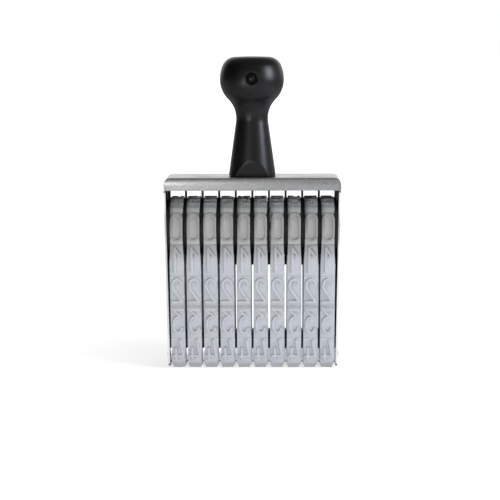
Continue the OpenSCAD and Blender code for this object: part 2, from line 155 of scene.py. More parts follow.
# Blank stretch, with grip ribs that are torn in places
BLANK_START = 5.5 * DIGIT_PITCH
BLANK_END = LOOP_LEN - 4.5 * DIGIT_PITCH
BLANK_MARGIN = 1
BEHIND_START = LOOP_LEN - 4.6 * DIGIT_PITCH
RIB_PITCH = 3.3
RIB_COUNT = int((BLANK_END - BLANK_START) / RIB_PITCH)
RIB_W = 1.2
RIB_H = 2.2
RIB_SLOPE = 0.7
RIB_GROUND = 1.55
TEAR_ALONG = 1.5
TEAR_ACROSS = 3.2
TEAR_LEVEL = 0.5
TEAR_SOFT = 0.25
TEAR_DEPTH = 0.7
TEAR_LEAST = 0.3
TEAR_GRID = (31, 7)

# Wheel
SEPARATOR_T = 1.3
WHEEL_HALF = (PITCH - SEPARATOR_T) / 2 - FIT_GAP
DRUM_R = 13.7
DRUM_ROUND = 0.2
FLANGE_R = 16.5
FLANGE_T = 0.35
RIM_ROUND = 0.12
BORE_R = 2.05
HUB_R = 5.0
HUB_ROUND = 0.15
RECESS_R = 11.2
WEB_HALF_T = 1.0
KNURL_H = 0.32
KNURL_W = 0.55
KNURL_ROOT = 0.1
KNURL_ROUND = 0.13
KNURL_COUNT = 84
WHEEL_SEGMENTS = 96

# Handle, heights above its foot
FOOT_Z = 111.0
HANDLE_H = 67.2
FOOT_R = 13.25
RIM_H = 1.2
FOOT_EDGE = [(0.0, 0.0), (6.0, 0.0), (11.0, 0.0), (12.4, 0.0), (12.85, 0.12), (13.12, 0.4),
             (13.23, 0.8)]
WAIST_R = 9.0
FLARE_R = 15.0
KNOB_R = 18.0
KNOB_LOWER_R = 15.5
KNOB_UPPER_R = 20.5
KNOB_Z = 54.4
SHOULDER_R = 7.9
CROWN_H = 0.3
FLAT_CUT = 4.0
FLAT_H = 12.4
FLAT_CUT_TOP = 0.1
FLAT_ROUND = 0.35
FLAT_REACH = 4
DIMPLE_R = 3.5
DIMPLE_DEPTH = 0.75
DIMPLE_Z = 55.4
HANDLE_SEGMENTS = 360
# Its dimple is deepest in a ring. Steps as (outer end, width), in shares of its radius: the
# wall, the raised middle, and the outside and inside of the dull ring
DIMPLE_WALL = (1.08, 0.26)
DIMPLE_MIDDLE = (0.52, 0.3)
DIMPLE_MIDDLE_H = 0.45
DULL_OUTSIDE = (1.06, 0.16)
DULL_INSIDE = (0.46, 0.16)

# Frame
SKIRT_Z = 103.9
SIDE_IN = 48.9
SIDE_LEAN = 1.2 / 102.6
SIDE_D = 22.6

# Rivets
RIVET_HEAD_H = 0.7
RIVET_R = 1.5
RIVET_LEN = 9.6
RIVET_POINT = [(0.9, 0.05), (0.75, 0.16), (0.0, 0.18)]
RIVET_SEGMENTS = 40
DOME_DEGREES = range(0, 81, 10)


# ---- Meshes ----

def add_object(name, data):
    added = bpy.data.objects.new(name, data)
    bpy.context.scene.collection.objects.link(added)
    return added


def drop(*objects):
    """Takes away objects that only served as the shape of copies."""
    for o in objects:
        mesh = o.data
        bpy.data.objects.remove(o)
        bpy.data.meshes.remove(mesh)


def mesh_of(name, places_mm, quads):
    """A mesh from places in millimetres and an array of four-cornered faces."""
    mesh = bpy.data.meshes.new(name)
    places = np.asarray(places_mm, np.float32) * MM
    quads = np.asarray(quads, np.int32)
    mesh.vertices.add(len(places))
    mesh.vertices.foreach_set("co", places.ravel())
    mesh.loops.add(quads.size)
    mesh.loops.foreach_set("vertex_index", quads.ravel())
    mesh.polygons.add(len(quads))
    mesh.polygons.foreach_set("loop_start", np.arange(0, quads.size, 4, dtype=np.int32))
    mesh.polygons.foreach_set("use_smooth", np.ones(len(quads), bool))
    mesh.update(calc_edges=True)
    mesh.validate()
    return mesh


def read_places(mesh):
    places = np.empty(len(mesh.vertices) * 3, np.float32)
    mesh.vertices.foreach_get("co", places)
    return places.reshape(-1, 3)


def write_attribute(mesh, label, values):
    layer = mesh.attributes.new(label, "FLOAT", "POINT")
    layer.data.foreach_set("value", values.ravel().astype(np.float32))


def grid_quads(rows, columns, wrap_rows):
    """Faces of a grid of places that closes along its columns, and along its rows if asked."""
    r = np.arange(rows if wrap_rows else rows - 1)
    r, c = np.meshgrid(r, np.arange(columns), indexing="ij")
    here, above = r * columns, (r + 1) % rows * columns
    c_next = (c + 1) % columns
    corners = [here + c, here + c_next, above + c_next, above + c]
    return np.stack([k.ravel() for k in corners], axis=1)


def merged(mesh, distance):
    """The mesh, opened for work, with its doubles closed."""
    bm = bmesh.new()
    bm.from_mesh(mesh)
    bmesh.ops.remove_doubles(bm, verts=bm.verts, dist=distance)
    return bm


def round_edges(bm, edges, width_mm, segments):
    bmesh.ops.bevel(bm, geom=edges, offset=width_mm * MM, segments=segments,
                    profile=BEVEL_PROFILE, affect="EDGES", clamp_overlap=True)


def close_mesh(bm, mesh, sharp_angle=TURN):
    """Ends the work on a mesh, shaded smoothly apart from edges sharper than the angle."""
    for edge in bm.edges:
        edge.smooth = edge.calc_face_angle(math.pi) < sharp_angle
    for face in bm.faces:
        face.smooth = True
    bm.to_mesh(mesh)
    bm.free()
    return mesh


def lathe_mesh(name, outline, segments, axis="Z", closed=False):
    """Turns an outline of (radius, height) in millimetres round an axis."""
    radius, height = np.asarray(outline, float).T[:, :, None]
    angles = np.arange(segments) * TURN / segments
    a, b = radius * np.cos(angles), radius * np.sin(angles)
    h = np.broadcast_to(height, a.shape)
    order = {"Z": (a, b, h), "X": (h, a, b)}[axis]
    places = np.stack([k.ravel() for k in order], axis=1)
    mesh = mesh_of(name, places, grid_quads(len(outline), segments, closed))
    bm = merged(mesh, SAME_PLACE)
    bmesh.ops.recalc_face_normals(bm, faces=bm.faces)
    return close_mesh(bm, mesh, SHARP_ANGLE_TURNED)


def softened(node, name, width_mm):
    """A copy of a CAD node with its hard edges rounded."""
    bm = merged(frame["nodes"][node].data, 2 * SAME_PLACE)
    bmesh.ops.dissolve_limit(bm, angle_limit=FLAT_ANGLE, verts=bm.verts, edges=bm.edges)
    hard = [e for e in bm.edges if e.is_manifold and e.calc_face_angle(0) > HARD_ANGLE]
    round_edges(bm, hard, width_mm, 2)
    bmesh.ops.triangulate(bm, faces=[f for f in bm.faces if len(f.verts) > 4])
    return add_object(name, close_mesh(bm, bpy.data.meshes.new(name), SHARP_ANGLE))


def rounded_box(name, low, high, width_mm, segments=2):
    """A block between two corners, in millimetres, with rounded edges."""
    bm = bmesh.new()
    bmesh.ops.create_cube(bm, size=1.0)
    low, high = Vector(low) * MM, Vector(high) * MM
    size = high - low
    for v in bm.verts:
        v.co = low + Vector([(v.co[k] + 0.5) * size[k] for k in range(3)])
    round_edges(bm, list(bm.edges), width_mm, segments)
    return add_object(name, close_mesh(bm, bpy.data.meshes.new(name)))


# ---- Wiring of node trees ----

def feed(tree, value, socket):
    """Sets a socket to a plain value, or links it to an output."""
    if isinstance(value, bpy.types.NodeSocket):
        tree.links.new(value, socket)
    else:
        socket.default_value = value


def math_node(tree, operation, a, b=0.0):
    node = tree.nodes.new("ShaderNodeMath")
    node.operation = operation
    feed(tree, a, node.inputs[0])
    feed(tree, b, node.inputs[1])
    return node.outputs[0]


def map_range(tree, value, low, high, to_low=0.0, to_high=1.0, smooth=False):
    """Takes a value from one range of numbers to another, and stays within that."""
    node = tree.nodes.new("ShaderNodeMapRange")
    if smooth:
        node.interpolation_type = "SMOOTHSTEP"
    labels = ("Value", "From Min", "From Max", "To Min", "To Max")
    for label, given in zip(labels, (value, low, high, to_low, to_high)):
        feed(tree, given, node.inputs[label])
    return node.outputs["Result"]


# ---- Geometry Nodes: what repeats ----

def node_tree(name, *places):
    """A geometry tree that puts copies of a shape on points, with their count, the named
    places and a material as inputs."""
    tree = bpy.data.node_groups.new(name, "GeometryNodeTree")
    for label, kind in (("Geometry", "Geometry"), ("Copy", "Object"), ("Count", "Int"),
                        *((label, "Vector") for label in places), ("Material", "Material")):
        tree.interface.new_socket(label, in_out="INPUT", socket_type="NodeSocket" + kind)
    tree.interface.new_socket("Geometry", in_out="OUTPUT", socket_type="NodeSocketGeometry")
    given = tree.nodes.new("NodeGroupInput").outputs
    info = tree.nodes.new("GeometryNodeObjectInfo")
    place = tree.nodes.new("GeometryNodeInstanceOnPoints")
    tree.links.new(given["Copy"], info.inputs["Object"])
    tree.links.new(info.outputs["Geometry"], place.inputs["Instance"])
    return tree, given, place


def finish_tree(tree, given, place):
    """Joins the copies to the incoming mesh, makes them real and gives them the material."""
    join = tree.nodes.new("GeometryNodeJoinGeometry")
    real = tree.nodes.new("GeometryNodeRealizeInstances")
    paint = tree.nodes.new("GeometryNodeSetMaterial")
    leave = tree.nodes.new("NodeGroupOutput")
    link = tree.links.new
    link(given["Geometry"], join.inputs[0])
    link(place.outputs[0], join.inputs[0])
    link(join.outputs[0], real.inputs[0])
    link(real.outputs[0], paint.inputs["Geometry"])
    link(given["Material"], paint.inputs["Material"])
    link(paint.outputs[0], leave.inputs[0])
    return tree


def ring_tree():
    """Copies of an object turned round an axle along X, evenly spaced."""
    tree, given, place = node_tree("Ring of copies", "Centre")
    points = tree.nodes.new("GeometryNodePoints")
    index = tree.nodes.new("GeometryNodeInputIndex")
    turn = tree.nodes.new("ShaderNodeCombineXYZ")
    share = math_node(tree, "DIVIDE", index.outputs[0], given["Count"])
    link = tree.links.new
    link(math_node(tree, "MULTIPLY", share, TURN), turn.inputs["X"])
    link(given["Count"], points.inputs["Count"])
    link(given["Centre"], points.inputs["Position"])
    link(points.outputs[0], place.inputs["Points"])
    link(turn.outputs[0], place.inputs["Rotation"])
    return finish_tree(tree, given, place)


def row_tree():
    """Copies of an object in a straight row, from Start, one Step apart."""
    tree, given, place = node_tree("Row of copies", "Start", "Step")
    line = tree.nodes.new("GeometryNodeMeshLine")
    link = tree.links.new
    link(given["Count"], line.inputs["Count"])
    link(given["Start"], line.inputs["Start Location"])
    link(given["Step"], line.inputs["Offset"])
    link(line.outputs[0], place.inputs["Points"])
    return finish_tree(tree, given, place)


def grow(piece, tree, **values):
    """Runs a tree on a piece with the given inputs and keeps the result as its plain mesh."""
    modifier = piece.modifiers.new(tree.name, "NODES")
    modifier.node_group = tree
    sockets = {s.name: s.identifier for s in tree.interface.items_tree if s.in_out == "INPUT"}
    for label, value in values.items():
        modifier[sockets[label]] = value
    bpy.context.view_layer.update()
    evaluated = piece.evaluated_get(bpy.context.evaluated_depsgraph_get())
    grown = bpy.data.meshes.new_from_object(evaluated)
    piece.modifiers.clear()
    piece.data = grown


# ---- Shader groups ----

def shader_group(name, output, **inputs):
    """A group of shader nodes with numbers or vectors as inputs and one number as output."""
    tree = bpy.data.node_groups.new(name, "ShaderNodeTree")
    for label, default in inputs.items():
        kind = "NodeSocketVector" if isinstance(default, tuple) else "NodeSocketFloat"
        tree.interface.new_socket(label, in_out="INPUT", socket_type=kind).default_value = default
    tree.interface.new_socket(output, in_out="OUTPUT", socket_type="NodeSocketFloat")
    return tree, tree.nodes.new("NodeGroupInput").outputs, tree.nodes.new("NodeGroupOutput")


def noise_node(tree, given, detail, roughness=0.5):
    """Noise on the piece's own coordinates, stretched where the group has a Stretch."""
    place = tree.nodes.new("ShaderNodeTexCoord").outputs["Object"]
    if "Stretch" in given:
        mapping = tree.nodes.new("ShaderNodeMapping")
        feed(tree, place, mapping.inputs["Vector"])
        feed(tree, given["Stretch"], mapping.inputs["Scale"])
        place = mapping.outputs["Vector"]
    noise = tree.nodes.new("ShaderNodeTexNoise")
    labels = ("Vector", "Scale", "Detail", "Roughness")
    for label, value in zip(labels, (place, given["Scale"], detail, roughness)):
        feed(tree, value, noise.inputs[label])
    return noise.outputs["Fac"]


def grain_group():
    """Fine grain between two numbers, stretched where it runs along the piece."""
    tree, given, leave = shader_group(
        "Surface grain", "Value", Scale=400.0, Stretch=(1, 1, 1), Detail=3.0, Low=0.0, High=1.0)
    noise = noise_node(tree, given, given["Detail"])
    spread = map_range(tree, noise, 0.32, 0.68, given["Low"], given["High"])
    tree.links.new(spread, leave.inputs[0])
    return tree


def patches_group():
    """Soft patches, such as handling marks and dust: a mask from 0 to 1."""
    tree, given, leave = shader_group(
        "Soft patches", "Mask", Scale=60.0, Threshold=0.5, Softness=0.1)
    noise = noise_node(tree, given, 5.0, 0.62)
    high = math_node(tree, "ADD", given["Threshold"], given["Softness"])
    tree.links.new(map_range(tree, noise, given["Threshold"], high, smooth=True), leave.inputs[0])
    return tree


def scratches_group():
    """Thin scratches along the stretch, more of them with the amount: a mask from 0 to 1."""
    tree, given, leave = shader_group(
        "Fine scratches", "Mask", Scale=300.0, Stretch=(0.05, 1, 1), Amount=0.1)
    noise = noise_node(tree, given, 1.0)
    limit = math_node(tree, "SUBTRACT", 0.72, given["Amount"])
    tree.links.new(map_range(tree, noise, limit, 0.74), leave.inputs[0])
    return tree


GRAIN = grain_group()
PATCHES = patches_group()
SCRATCHES = scratches_group()


# ---- Materials ----

# The colour sockets of a mix node
MIX_LOW, MIX_HIGH, MIX_RESULT = 6, 7, 2


class Finish:
    """A material around one Principled shader, with short ways to wire its patterns."""

    def __init__(self, name, colour, roughness, metallic=0.0, specular=0.5):
        self.material = bpy.data.materials.new(name)
        self.material.use_nodes = True
        self.material.diffuse_color = (*colour, 1)
        self.tree = self.material.node_tree
        self.shader = self.tree.nodes["Principled BSDF"]
        self.set("Base Color", (*colour, 1))
        self.set("Roughness", roughness)
        self.set("Metallic", metallic)
        self.set("Specular IOR Level", specular)

    def set(self, label, value):
        feed(self.tree, value, self.shader.inputs[label])

    def group(self, tree, **values):
        node = self.tree.nodes.new("ShaderNodeGroup")
        node.node_tree = tree
        for label, value in values.items():
            node.inputs[label].default_value = value
        return node.outputs[0]

    def grain(self, scale, low=0.0, high=1.0, stretch=(1, 1, 1), detail=3.0):
        return self.group(GRAIN, Scale=scale, Stretch=stretch, Detail=detail, Low=low, High=high)

    def patches(self, scale, threshold, softness):
        return self.group(PATCHES, Scale=scale, Threshold=threshold, Softness=softness)

    def scratches(self, scale, amount, stretch=(0.05, 1, 1)):
        return self.group(SCRATCHES, Scale=scale, Amount=amount, Stretch=stretch)

    def math(self, operation, a, b=0.0):
        return math_node(self.tree, operation, a, b)

    def plus(self, a, b):
        return self.math("ADD", a, b)

    def times(self, first, *others):
        """The product of masks and numbers."""
        for other in others:
            first = self.math("MULTIPLY", first, other)
        return first

    def mix(self, mask, low, high):
        """A colour between low and high, each a colour or another mix."""
        node = self.tree.nodes.new("ShaderNodeMix")
        node.data_type = "RGBA"
        feed(self.tree, mask, node.inputs[0])
        for index, value in ((MIX_LOW, low), (MIX_HIGH, high)):
            if isinstance(value, tuple):
                value = (*value, 1)
            feed(self.tree, value, node.inputs[index])
        return node.outputs[MIX_RESULT]

    def tint(self, base, colour, *masks):
        """The base, moved towards a colour as far as the product of the masks says."""
        return self.mix(self.times(*masks), base, colour)

    def ramp(self, value, low, high, to_low=0.0, to_high=1.0):
        return map_range(self.tree, value, low, high, to_low, to_high, smooth=True)

    def span(self, value, rise, full, fall, end):
        """A mask that rises from 0 to 1 and falls again along a value."""
        return self.times(self.ramp(value, rise, full), self.ramp(value, end, fall))

    def coordinate(self, axis):
        place = self.tree.nodes.new("ShaderNodeTexCoord")
        split = self.tree.nodes.new("ShaderNodeSeparateXYZ")
        self.tree.links.new(place.outputs["Object"], split.inputs[0])
        return split.outputs[axis]

    def from_middle(self, axis):
        return self.math("ABSOLUTE", self.coordinate(axis))

    def attribute(self, name):
        node = self.tree.nodes.new("ShaderNodeAttribute")
        node.attribute_name = name
        return node.outputs["Fac"]

    def bump(self, height, distance_mm, strength):
        """Adds a bump, on top of those that are there already."""
        node = self.tree.nodes.new("ShaderNodeBump")
        for label, value in (("Distance", distance_mm * MM), ("Strength", strength),
                             ("Height", height)):
            feed(self.tree, value, node.inputs[label])
        before = self.shader.inputs["Normal"].links
        if before:
            feed(self.tree, before[0].from_socket, node.inputs["Normal"])
        self.set("Normal", node.outputs["Normal"])


def handle_plastic():
    """Moulded black plastic, satin, with a fine texture, a parting line and small scratches.
    The dimple's ring and what is seen at a glancing angle shine less."""
    f = Finish("handle_satin_black", (0.003, 0.0028, 0.0027), 0.29, specular=0.42)
    worn = f.patches(45, 0.52, 0.16)
    f.set("Base Color", f.mix(worn, (0.0028, 0.0026, 0.0025), (0.004, 0.0037, 0.0035)))
    dimple = f.attribute("dimple")
    rough = f.plus(f.grain(900, 0.31, 0.36), f.times(worn, 0.03))
    f.set("Roughness", f.plus(rough, f.times(dimple, 0.25)))
    facing = f.tree.nodes.new("ShaderNodeLayerWeight").outputs["Facing"]
    glancing = f.ramp(facing, 0.6, 0.92, 1.0, 0.14)
    f.set("Specular IOR Level", f.times(f.ramp(dimple, 0.0, 1.0, 0.44, 0.06), glancing))
    f.bump(f.grain(2600, detail=2.0), 0.01, 0.3)
    f.bump(f.grain(70, detail=1.0), 0.05, 0.2)
    f.bump(f.ramp(f.from_middle(1), 0.05 * MM, 0.3 * MM, 1.0, 0.0), 0.05, 0.6)
    f.bump(f.scratches(260, 0.07, (1, 1, 0.12)), 0.02, 0.4)
    return f.material


def frame_metal():
    """Matt zinc-plated sheet: fine even grain, small scratches, duller patches, bright cut edges
    on the side plates, painted near white as a painted highlight, and painted shade, near black,
    on their inner faces."""
    f = Finish("frame_plated_sheet", (0.5, 0.5, 0.5), 0.36, metallic=0.8)
    grain = f.grain(1500, detail=2.0)
    dull = f.patches(55, 0.46, 0.2)
    plain = f.mix(grain, (0.33, 0.33, 0.33), (0.5, 0.5, 0.495))
    plain = f.tint(plain, (0.365, 0.363, 0.357), dull, 0.3)
    # The side plates lean inwards below the skirt
    drop_z = f.math("SUBTRACT", SKIRT_Z * MM, f.coordinate(2))
    # Painted shade: the inner faces of the side plates, between the comb and the skirt, are
    # coloured near black and rougher
    inside = f.plus(f.from_middle(0), f.times(drop_z, SIDE_LEAN))
    inside = f.ramp(inside, (SIDE_IN + 0.1) * MM, (SIDE_IN + 0.3) * MM, 1.0, 0.0)
    inside = f.times(inside, f.ramp(drop_z, 0.0, 0.4 * MM),
                     f.ramp(f.coordinate(2), COMB_BOTTOM * MM, COMB_TOP * MM))
    # Painted highlight: the bare cut edges of the side plates below the skirt are coloured near
    # white and hardly metallic
    edge = f.ramp(f.from_middle(1), (SIDE_D / 2 - 0.35) * MM, (SIDE_D / 2 - 0.15) * MM)
    edge = f.times(edge, f.ramp(drop_z, 0.8 * MM, 1.6 * MM))
    f.set("Metallic", f.ramp(edge, 0.0, 1.0, 0.8, 0.1))
    plain = f.mix(edge, plain, (0.85, 0.85, 0.85))
    inside = f.times(inside, f.math("SUBTRACT", 1.0, edge))
    f.set("Base Color", f.mix(inside, plain, (0.02, 0.02, 0.021)))
    rough = f.plus(f.grain(700, 0.27, 0.34), f.times(dull, 0.05))
    f.set("Roughness", f.plus(rough, f.times(inside, 0.4)))
    f.bump(grain, 0.016, 0.6)
    f.bump(f.scratches(420, 0.08), 0.015, 0.5)
    f.bump(f.grain(38, detail=1.0), 0.06, 0.25)
    return f.material


def band_rubber():
    """Light grey moulded rubber, matt, with painted shade on its ledges and darker moulding lines.
    The cell of the noughts has turned yellow, with painted light on its floor, and the blank
    stretch is dark with ink, with painted light on the crown of the loop. Heights are shares of
    the relief, and places along the loop are in its own unit."""
    f = Finish("band_grey_rubber", (0.5, 0.51, 0.53), 0.62, specular=0.3)
    height = f.attribute("relief")
    place = f.attribute("place")
    wear = f.attribute("wear")
    mottle = f.grain(240, detail=4.0)
    base = f.mix(mottle, (0.505, 0.52, 0.545), (0.545, 0.56, 0.585))
    splice = f.span(place, 0.436, 0.447, 0.450, 0.478)
    base = f.tint(base, (0.42, 0.43, 0.45), splice, 0.5)
    # Darker more and more towards the top of the cell of ones, with painted shade on the ledges,
    # most of it there
    base = f.tint(base, (0.3, 0.3, 0.285), f.span(place, 0.70, 0.81, 0.817, 0.821), 0.75)
    # The cell of the noughts has turned yellow; its floor is kept lighter than its raised tops, as
    # painted light against the shade in the recess
    handled = f.ramp(place, 0.815, 0.819)
    yellow_tone_and_painted_relief = f.mix(mottle, (0.45, 0.45, 0.435), (0.49, 0.49, 0.475))
    yellow_tone_and_painted_relief = f.mix(f.ramp(height, 0.4, 0.9), yellow_tone_and_painted_relief, (0.34, 0.34, 0.33))
    base = f.mix(handled, base, yellow_tone_and_painted_relief)
    # Painted shade on the ledges, the walls that face up, strongest towards the top of the cell of
    # ones
    base = f.tint(base, (0.1, 0.1, 0.095), f.attribute("ledge"),
                  f.ramp(place, 0.70, 0.80, 0.15, 0.7), f.ramp(place, 0.798, 0.806, 1.0, 0.18))
    line = f.math("SUBTRACT", 1.0, f.ramp(height, -0.11, -0.06))
    base = f.tint(base, (0.16, 0.16, 0.16), line, f.ramp(place, 0.72, 0.81, 0.3, 0.8))
    smears = f.plus(0.62, f.times(f.patches(170, 0.4, 0.3), 0.38))
    base = f.tint(base, (0.25, 0.255, 0.25), f.span(place, 0.93, 1.04, 1.36, 1.45), smears)
    # Painted light: the crown of the loop, in shade under the frame, is coloured lighter again
    base = f.tint(base, (0.47, 0.475, 0.47), f.span(place, 1.07, 1.13, 1.22, 1.28), 0.8)
    # Each band is worn to its own degree, and along its left edge at the top it gets painted shade
    # beside its flange, deeper on the more worn bands
    base = f.tint(base, (0.2, 0.2, 0.19), handled, wear, 0.22)
    left = f.times(f.ramp(f.attribute("across"), -0.2, -1.0), f.ramp(place, 0.84, 0.97))
    base = f.tint(base, (0.1, 0.1, 0.1), left, f.plus(0.2, wear))
    crumbs = f.times(f.patches(420, 0.56, 0.05), f.ramp(place, 1.0, 1.1))
    base = f.tint(base, (0.05, 0.05, 0.05), crumbs, wear, 0.8)
    specks = f.patches(900, 0.66, 0.04)
    f.set("Base Color", f.tint(base, (0.3, 0.3, 0.31), specks, 0.25))
    f.set("Roughness", f.grain(600, 0.55, 0.7))
    f.bump(f.grain(1500, detail=3.0), 0.02, 0.4)
    f.bump(f.grain(160, detail=2.0), 0.05, 0.25)
    return f.material


def black_plastic(name, colour, roughness, grain_scale):
    """Moulded black plastic with a soft shine and grey dust."""
    f = Finish(name, colour, roughness, specular=0.4)
    lighter = tuple(c * 1.9 + 0.004 for c in colour)
    f.set("Base Color", f.tint(colour, lighter, f.patches(200, 0.5, 0.2), 0.6))
    f.set("Roughness", f.grain(grain_scale, roughness - 0.06, roughness + 0.1))
    f.bump(f.grain(grain_scale * 2, detail=2.0), 0.015, 0.4)
    return f.material


def bright_metal(name, colour, roughness, stretch):
    """Drawn, turned or plated metal: grain along one direction and a few scratches."""
    f = Finish(name, colour, roughness, metallic=1.0)
    grain = f.grain(900, stretch=stretch)
    darker = tuple(c * 0.82 for c in colour)
    plain = f.mix(grain, darker, colour)
    f.set("Base Color", f.tint(plain, darker, f.patches(120, 0.5, 0.25), 0.5))
    f.set("Roughness", f.grain(630, roughness - 0.05, roughness + 0.09, stretch))
    f.bump(grain, 0.008, 0.5)
    f.bump(f.scratches(500, 0.07, stretch), 0.01, 0.5)
    return f.material


HANDLE_FINISH = handle_plastic()
FRAME_FINISH = frame_metal()
BAND_FINISH = band_rubber()
WHEEL_FINISH = black_plastic("wheel_black_plastic", (0.014, 0.014, 0.0145), 0.3, 700)
PLATE_FINISH = black_plastic("plate_black_plastic", (0.010, 0.010, 0.0105), 0.5, 900)
BAR_FINISH = bright_metal("bar_drawn_aluminium", (0.95, 0.955, 0.96), 0.27, (0.06, 1, 1))
AXLE_FINISH = bright_metal("axle_steel", (0.38, 0.375, 0.37), 0.3, (0.1, 1, 1))
SCREW_FINISH = bright_metal("screw_zinc_plated", (0.66, 0.67, 0.7), 0.32, (1, 1, 1))
BRASS_FINISH = bright_metal("insert_turned_brass", (0.72, 0.52, 0.22), 0.3, (1, 1, 0.1))


def dress(piece, finish, slot_name, body, *nodes):
    """Paints a piece and says what it replaces and rides on; the slot name is not used."""
    piece.data.materials.clear()
    piece.data.materials.append(finish)
    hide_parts(*nodes)
    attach(piece, body)


# ---- Bands ----

def loop_place(s, e):
    """Y and Z, in millimetres, at the length s along the web and e outside its inner side.
    s is 0 in the middle of the platen and grows up the front, over the drum, down the back."""
    back = s > LOOP_LEN / 2
    s = np.where(back, LOOP_LEN - s, s)
    flat = np.minimum(s, FLAT_HALF)
    low = np.clip((s - FLAT_HALF) / (BEND_IN_R + WEB_T), 0, math.pi / 2 - LEAN)
    run = np.clip(s - RUN_START, 0, RUN_LEN)
    y = -flat - (BEND_IN_R + e) * np.sin(low) - run * math.sin(LEAN)
    z = BEND_Z - (BEND_IN_R + e) * np.cos(low) + run * math.cos(LEAN)
    turn = (s - DRUM_START) / (DRUM_IN_R + WEB_T) - LEAN
    on_drum = s > DRUM_START
    y = np.where(on_drum, -(DRUM_IN_R + e) * np.cos(turn), y)
    z = np.where(on_drum, AXLE_Z + (DRUM_IN_R + e) * np.sin(turn), z)
    return np.where(back, -y, y), z


def smooth_step(value):
    t = np.clip(value, 0, 1)
    return t * t * (3 - 2 * t)


def band_half_width(z):
    """Half the width of the web, which narrows where it runs between the flanges."""
    share = smooth_step((z - SQUEEZE_TOP + SQUEEZE_H) / SQUEEZE_H)
    at_bar = PLATEN_SQUEEZE * smooth_step((PLATEN_SQUEEZE_TOP - z) / PLATEN_SQUEEZE_H)
    return BAND_HALF_W - at_bar + (BAND_HALF_W_DRUM - BAND_HALF_W) * share


def arc(cx, cy, rx, ry, start, end, steps):
    a = np.radians(np.linspace(start, end, steps + 1))
    return np.stack([cx + rx * np.cos(a), cy + ry * np.sin(a)], axis=1)


def stroke(points):
    """The outline of a line of even width with square ends."""
    p = np.asarray(points, float)
    d = np.diff(p, axis=0)
    d /= np.linalg.norm(d, axis=1)[:, None]
    before, after = np.vstack([d[:1], d]), np.vstack([d, d[-1:]])
    left = np.stack([-before[:, 1], before[:, 0]], axis=1)
    mid = left + np.stack([-after[:, 1], after[:, 0]], axis=1)
    mid /= np.linalg.norm(mid, axis=1)[:, None]
    reach = STROKE_W / 2 / np.maximum(0.5, (mid * left).sum(axis=1))[:, None]
    return np.vstack([p + mid * reach, (p - mid * reach)[::-1]])


def digit_strokes(n):
    """The strokes of a digit, upright and readable: open outlines, and rings by centre line.
    The bare numbers are shares of half its width a and half its height b, and degrees."""
    a, b = (DIGIT_W - STROKE_W) / 2, (DIGIT_H - STROKE_W) / 2
    end = STROKE_W / 2
    bowl, big_bowl = b * 0.54, b * 0.69
    r, tall = a + ZERO_WIDER, b + ZERO_TALLER
    lines = {
        1: [[(a * 0.42, -b - end), (a * 0.42, b + end)], [(a * 0.42, b), (-a * 0.72, b * 0.3)]],
        2: [[*arc(0, b - bowl, a, bowl, 168, -45, 22), (-a * 0.95, -b + end * 0.6)],
            [(-a - end, -b), (a + end, -b)]],
        3: [[(-a - end, b), (a, b), (-a * 0.7, b * 0.42)],
            [(-a * 0.7, b * 0.4), *arc(0, big_bowl - b, a, big_bowl, 95, -165, 22)]],
        4: [[(-a * 0.4, b + end), (-a * 1.05, -b * 0.38), (a + end, -b * 0.38)],
            [(a * 0.56, b * 0.42), (a * 0.56, -b + FOUR_SHORTER)]],
        5: [[(a + end, b), (-a + end * 0.4, b), (-a + end * 0.1, b * 0.12)],
            arc(0, bowl - b, a, bowl, 140, -160, 22)],
        6: [[*arc(0, b - a, a, a, 15, 180, 14), (-a, bowl - b)]],
        7: [[(-a - end, b), (a, b), (-a * 0.4, -b - end)]]}
    rings = {
        0: [np.vstack([arc(0, tall - r, r, r, 0, 180, 20), arc(0, r - tall, r, r, 180, 360, 20)])],
        6: [arc(0, bowl - b, a, bowl, 0, 360, 30)],
        8: [arc(0, b - b * 0.48, a * 0.9, b * 0.48, 0, 360, 30),
            arc(0, b * 0.52 - b, a, b * 0.52, 0, 360, 30)]}
    # A nine is a six turned round
    n, side = (6, -1) if n == 9 else (n, 1)
    outlines = [stroke(points) * side for points in lines.get(n, [])]
    return outlines, [ring * side for ring in rings.get(n, [])]


def line_distance(p, line):
    """Distance from each place to a closed line, and whether it lies inside the line."""
    nearest = np.full(len(p), 1e9)
    wind = np.zeros(len(p), int)
    for p0, p1 in zip(line, np.roll(line, -1, axis=0)):
        edge = p1 - p0
        rel = p - p0
        t = np.clip(rel @ edge / max(edge @ edge, 1e-12), 0, 1)
        nearest = np.minimum(nearest, np.hypot(*(rel - t[:, None] * edge).T))
        side = edge[0] * rel[:, 1] - edge[1] * rel[:, 0]
        wind += ((p[:, 1] >= p0[1]) & (p[:, 1] < p1[1]) & (side > 0)).astype(int)
        wind -= ((p[:, 1] < p0[1]) & (p[:, 1] >= p1[1]) & (side < 0)).astype(int)
    return nearest, wind != 0


def digit_distance(n, p):
    """Signed distance to the outline of a digit, below 0 inside."""
    outlines, rings = digit_strokes(n)
    found = np.full(len(p), 1e9)
    for outline in outlines:
        d, inside = line_distance(p, outline)
        found = np.minimum(found, np.where(inside, -d, d))
    for ring in rings:
        d, _ = line_distance(p, ring)
        found = np.minimum(found, d - (ZERO_STROKE_W if n == 0 else STROKE_W) / 2)
    return found


def into_blank(signed):
    """How many ribs a place lies inside the ends of the blank stretch."""
    return np.minimum(signed - BLANK_START, BLANK_END - signed) / RIB_PITCH


